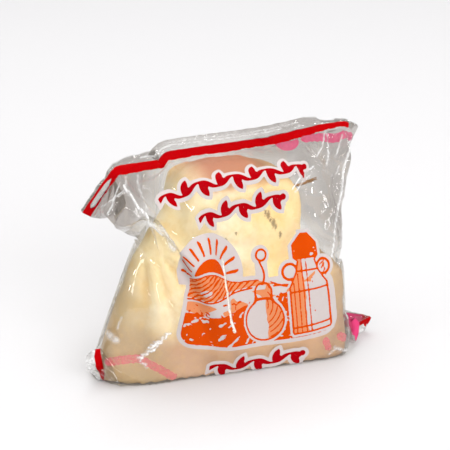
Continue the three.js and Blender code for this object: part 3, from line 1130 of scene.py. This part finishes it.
SCROLLS = (
    scroll((44, 134), (132, 136.5), 9),
    scroll((63, 117.8), (114, 121.5), 5),
    scroll((66, 30.5), (117, 34), 5),
)
PICTURE_MIDDLE, PICTURE_HALVES, PICTURE_ROUNDING = (91.5, 61.5), (39, 10.5), 7


def flecks(x, y, size, seed):
    """Smooth noise over the flat film, stretched a little across."""
    flat = np.stack([x.ravel() * 0.7, y.ravel(), 0 * x.ravel()], -1)
    return ripples(flat, size, seed, 2).reshape(x.shape)


def outlined(level, width):
    """A line of this width along the inside of a shape's edge."""
    return within(level, -width - level)


def far_ridge(x):
    return 82 + 5.5 * np.sin((x - 38) / 15) + 2.2 * np.sin((x - 50) / 6.1)


def meadow_edge(x):
    return 73 + 3.0 * np.sin((x - 66) / 21)


def field_edge(x):
    return 68 + 3.0 * np.sin((x - 92) / 19) + 0.06 * (x - 98)


def picture_frame(x, y):
    """The picture's field, a rounded block that rises over the far hills."""
    aside, off_level = np.abs(x - PICTURE_MIDDLE[0]), np.abs(y - PICTURE_MIDDLE[1])
    past = np.maximum(aside - PICTURE_HALVES[0], 0), np.maximum(off_level - PICTURE_HALVES[1], 0)
    block = np.hypot(*past) - PICTURE_ROUNDING
    return at_least(block, within(y - far_ridge(x), 58 - y, aside - PICTURE_HALVES[0] - 6))


CHURN = (124.5, 46.0)  # the middle of its foot
CHURN_HEIGHTS = (0, 1.5, 27, 35, 41, 43, 50, 53, 56)
CHURN_HALVES = (10.5, 11.5, 11.5, 7.2, 5.6, 7.8, 7.8, 5.0, 2.0)  # half its width at those heights
CHURN_HANDLES = tuple((CHURN[0] + side * 10.2, CHURN[1] + 36) for side in (-1, 1))
HANDLE_RADIUS = 4.2


def churn(x, y):
    """A milk churn: a tall can with shoulders, a neck and a domed lid."""
    up = y - CHURN[1]
    half = np.interp(up, CHURN_HEIGHTS, CHURN_HALVES)
    return within((np.abs(x - CHURN[0]) - half) * 0.9, -up, up - CHURN_HEIGHTS[-1])


def churn_lines(x, y):
    can = churn(x, y)
    up = y - CHURN[1]
    hoops = at_least(*[np.abs(up - height) - 0.5 for height in (4.0, 24.5, 35.5, 42.5, 50.0)])
    handles = [np.abs(disc(x, y, middle, HANDLE_RADIUS)) - 0.75 for middle in CHURN_HANDLES]
    handles = within(at_least(*handles), -can)
    aside = x - CHURN[0]
    strokes = within(np.abs(np.sin(aside * 1.15 + 0.4)) * 0.8 - 0.3, aside - 1 + flecks(x, y, 4.0, 21) * 3)
    lid = within(can, 42.5 - up, flecks(x, y, 2.4, 34) - 0.5)
    return at_least(outlined(can, 1.0), within(can, hoops), within(can + 1.4, strokes), handles, lid)


ROUND_CHEESE = (97.5, 57.0)
NECK_BLEND = 6.0
CORD_LOOP = 93.5  # the height of the loop that its cord ends in


def tied_cheese(x, y):
    """A pear-shaped cheese with a small head above the cord round its neck."""
    body = disc(x, y * 0.95 + ROUND_CHEESE[1] * 0.05, ROUND_CHEESE, 11.5)
    head = disc(x, y, (ROUND_CHEESE[0], 73.5), 5.2)
    share = np.clip(0.5 + 0.5 * (body - head) / NECK_BLEND, 0, 1)
    return body + (head - body) * share - NECK_BLEND * share * (1 - share)


def tied_cheese_lines(x, y):
    cheese_shape = tied_cheese(x, y)
    neck = np.abs(y - 69.3 + 0.02 * (x - ROUND_CHEESE[0]) ** 2) - 0.8
    cord = within(np.abs(x - ROUND_CHEESE[0] - 1.2 * np.sin((y - 78) / 3)) - 0.6, 77 - y, y - 91)
    loop = np.abs(disc(x, y, (ROUND_CHEESE[0] + 0.4, CORD_LOOP), 3.0)) - 0.6
    hatch = np.abs(np.sin(disc(x, y, (92, 66), 0) * 1.2)) * 0.8 - 0.32
    shade = within(hatch, -(x - ROUND_CHEESE[0] - 2 + 2 * flecks(x, y, 4.0, 22)))
    inner = at_least(within(cheese_shape, neck), within(cheese_shape + 1.2, shade))
    return at_least(outlined(cheese_shape, 1.0), inner, cord, loop)


SUN = (62.5, 86.5)


def sun(x, y):
    """A rising sun: a disc and its rays, cut off by the far hills."""
    reach = disc(x, y, SUN, 0)
    turn = np.arctan2(y - SUN[1], x - SUN[0])
    ray = (np.abs(np.sin(turn * 9)) - 0.42) * reach / 9
    long_ray = 19.5 + 2.5 * np.sin(turn * 18 + 1.2)
    rays = within(ray, 13.0 - reach, reach - long_ray)
    return within(at_least(reach - 10.8, rays), far_ridge(x) + 0.9 - y)


def hills(x, y):
    """Ridges with slanting strokes, a pale meadow with tufts, and a ploughed field of meeting furrows."""
    ridge, meadow, field = far_ridge(x), meadow_edge(x), field_edge(x)
    rough = flecks(x, y, 3.2, 23)
    slant = np.abs(np.sin((x * 0.8 - y * 1.15) * 0.95 + rough)) * 0.8 - 0.47 - 0.35 * rough
    far = at_least(within(y - ridge, ridge - 1.1 - y), within(y - ridge, meadow - y, slant))
    tufts = within(y - meadow + 3, field - y, 0.4 - flecks(x, y, 2.6, 24))
    furrow = np.arctan2(y - 92, x - 118)
    lines = (0.34 - np.abs(np.sin(furrow * 26 + 0.5 * rough))) * 1.6
    soil = within(y - field, at_least(lines, rough - 0.1), flecks(x, y, 2.2, 25) - 0.6)
    return within(at_least(far, np.abs(y - meadow) - 0.45, tufts, soil), picture_frame(x, y) + 0.4)


def orange_ink(x, y):
    front = at_least(churn(x, y), tied_cheese(x, y)) - 1.2
    rough_edge = 0.16 * flecks(x, y, 1.1, 26)
    land = within(at_least(hills(x, y), sun(x, y)), -front)
    return at_least(land, churn_lines(x, y), tied_cheese_lines(x, y)) + rough_edge


def pale_orange_ink(x, y):
    shaded_can = within(churn(x, y) + 0.8, x - CHURN[0] + 2.5 + 1.5 * flecks(x, y, 7.0, 27))
    shaded_cheese = within(tied_cheese(x, y) + 0.8, ROUND_CHEESE[0] + 1.0 - x + 1.5 * flecks(x, y, 7.0, 28))
    ridge, meadow = far_ridge(x), meadow_edge(x)
    wash = within(y - ridge + 1.0, meadow + 1.0 - y, flecks(x, y, 9.0, 35) - 0.2)
    patches = within(y - meadow + 1.5, field_edge(x) - y, 0.05 - flecks(x, y, 8.0, 36))
    return at_least(shaded_can, shaded_cheese, within(at_least(wash, patches), picture_frame(x, y) + 0.6))


def scroll_ink(across, along):
    return at_least(*[drawing(across, along) for drawing in SCROLLS])


def white_ink(x, y):
    sun_glow = within(disc(x, y, SUN, 22.5), 80 - y)
    cord = within(np.abs(x - ROUND_CHEESE[0]) - 1.8, 76 - y, y - 93)
    loop = at_least(disc(x, y, (ROUND_CHEESE[0], CORD_LOOP), 3.6), cord)
    handles = at_least(*[disc(x, y, middle, HANDLE_RADIUS + 0.7) for middle in CHURN_HANDLES])
    picture = at_least(picture_frame(x, y), sun_glow, churn(x, y), handles, tied_cheese(x, y), loop)
    return at_least(scroll_ink(x, y), picture) - WHITE_EDGE


def highlight_gap(drawing):
    """The drawing without ink along the crease through it, where the film's white shows as a painted
    highlight.
    """

    def left_on(across, along):
        bared_line = near_path(across, along, HIGHLIGHT_CREASE) - 0.6
        bared_line -= 0.9 * np.maximum(0, flecks(across, along, 3.0, 31))
        return within(drawing(across, along), -bared_line)

    return left_on


PRINT_LOW, PRINT_HIGH = (36.0, 22.0), (160.0, 150.0)
INKS = (  # name, drawing, height above the film, colour, and the colour where it is thin
    ("red", scroll_ink, INK_LIFT, (146, 0, 8), (130, 0, 6)),
    ("orange", highlight_gap(orange_ink), INK_LIFT, (184, 62, 2), (172, 54, 1)),
    ("pale_orange", highlight_gap(pale_orange_ink), PALE_LIFT, (192, 120, 80), (186, 110, 70)),
    ("white", highlight_gap(white_ink), BACKING_LIFT, (176, 167, 165), (168, 158, 156)),
)
sheets = [stripes, stripe_backs, shown_stripes, turned_stripes]
for name, drawing, lift, colour, thin in INKS:
    ink = ink_material(f"{name}_ink", srgb(*colour), srgb(*thin))
    sheets.append(new_piece(f"{name}_print", *inked(drawing, PRINT_LOW, PRINT_HIGH, -1, lift), ink))
for sheet in sheets:  # soft shadows of the ink come out too dark on the cheese
    sheet.visible_shadow = False


# The floor: a plain pale sweep of studio paper, which isn't part of the object.
FLOOR_REACH = 4.0


def floor_material():
    place, finish = new_material("studio_paper")
    fibre = place.noise(2.0, 3.0)
    paper = fibre.mix(srgb(193, 192, 193), srgb(196, 195, 196))
    return finish(place.add("ShaderNodeBsdfPrincipled", {}, {"Base Color": paper, "Roughness": 0.9}))


def floor_piece():
    mesh = bpy.data.meshes.new("floor")
    corners = [(x * FLOOR_REACH, y * FLOOR_REACH, 0.0) for x, y in ((-1, -1), (1, -1), (1, 1), (-1, 1))]
    mesh.from_pydata(corners, [], [(0, 1, 2, 3)])
    mesh.materials.append(floor_material())
    piece = bpy.data.objects.new("floor", mesh)
    bpy.context.scene.collection.objects.link(piece)
    piece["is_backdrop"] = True


floor_piece()


# The light and the camera: soft boxes over and beside the bag, a grey room, a long lens at the left front.
ROOM_GREY = 0.25
CAMERA_BACK = Vector((-0.3971, -0.8517, 0.3420))
CAMERA_TARGET = Vector(((np.array([-2.8, 6.9, 73.9]) + SEAL_MIDDLE) * MM).tolist())
CAMERA_DISTANCE = 0.825
CAMERA_LENS = 120.0
LAMPS = (  # name, place, size, power, and whether it is mirrored in the film
    ("overhead", (0.0, 0.2, 2.3), (2.8, 2.8), 74.0, False),
    ("key", (-0.3, -2.6, 1.15), (2.0, 1.5), 51.0, False),
    ("fill", (1.0, -2.5, 0.9), (1.8, 1.4), 30.0, False),
    ("strip", (-0.8, -2.3, 1.3), (0.12, 0.9), 5.0, True),
    ("back", (0.5, 1.6, 2.1), (1.6, 1.0), 12.0, False),
    ("side", (-2.1, -0.4, 1.3), (0.5, 0.9), 8.0, True),
)
GLINTS = 7
GLINT_SIZE, GLINT_POWER, GLINT_RING = 0.16, 2.0, 1.7
GLINT_HEIGHTS = (0.7, 1.3, 1.9)
for count in range(GLINTS):  # small bare lamps in a ring, which draw the white lines along the creases
    round_bag = 2 * np.pi * (count + 0.3) / GLINTS
    spot = (GLINT_RING * np.cos(round_bag), GLINT_RING * np.sin(round_bag), GLINT_HEIGHTS[count % 3])
    LAMPS += ((f"glint_{count}", spot, (GLINT_SIZE, GLINT_SIZE), GLINT_POWER, True),)


def light_and_camera():
    scene = bpy.context.scene
    scene.view_settings.view_transform = "Standard"
    scene.cycles.transparent_max_bounces = 32
    room = bpy.data.worlds.new("room")
    room.use_nodes = True
    backdrop = room.node_tree.nodes["Background"]
    backdrop.inputs["Color"].default_value = (ROOM_GREY, ROOM_GREY, ROOM_GREY, 1.0)
    scene.world = room
    for name, place, size, power, mirrored in LAMPS:
        lamp = bpy.data.lights.new(name, "AREA")
        lamp.shape = "RECTANGLE"
        lamp.size, lamp.size_y = size
        lamp.energy = power
        holder = bpy.data.objects.new(name, lamp)
        holder.location = place
        holder.visible_glossy = mirrored
        holder.rotation_euler = (CAMERA_TARGET - Vector(place)).to_track_quat("-Z", "Y").to_euler()
        scene.collection.objects.link(holder)
    lens = bpy.data.cameras.new("camera")
    lens.lens = CAMERA_LENS
    camera = bpy.data.objects.new("camera", lens)
    camera.location = CAMERA_TARGET + CAMERA_BACK * CAMERA_DISTANCE
    camera.rotation_euler = (-CAMERA_BACK).to_track_quat("-Z", "Y").to_euler()
    scene.collection.objects.link(camera)
    scene.camera = camera


light_and_camera()

visual_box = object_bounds()
boxes = {"cad": cad_box, "visual": visual_box}
{name: [list(corner) for corner in box] for name, box in boxes.items()}
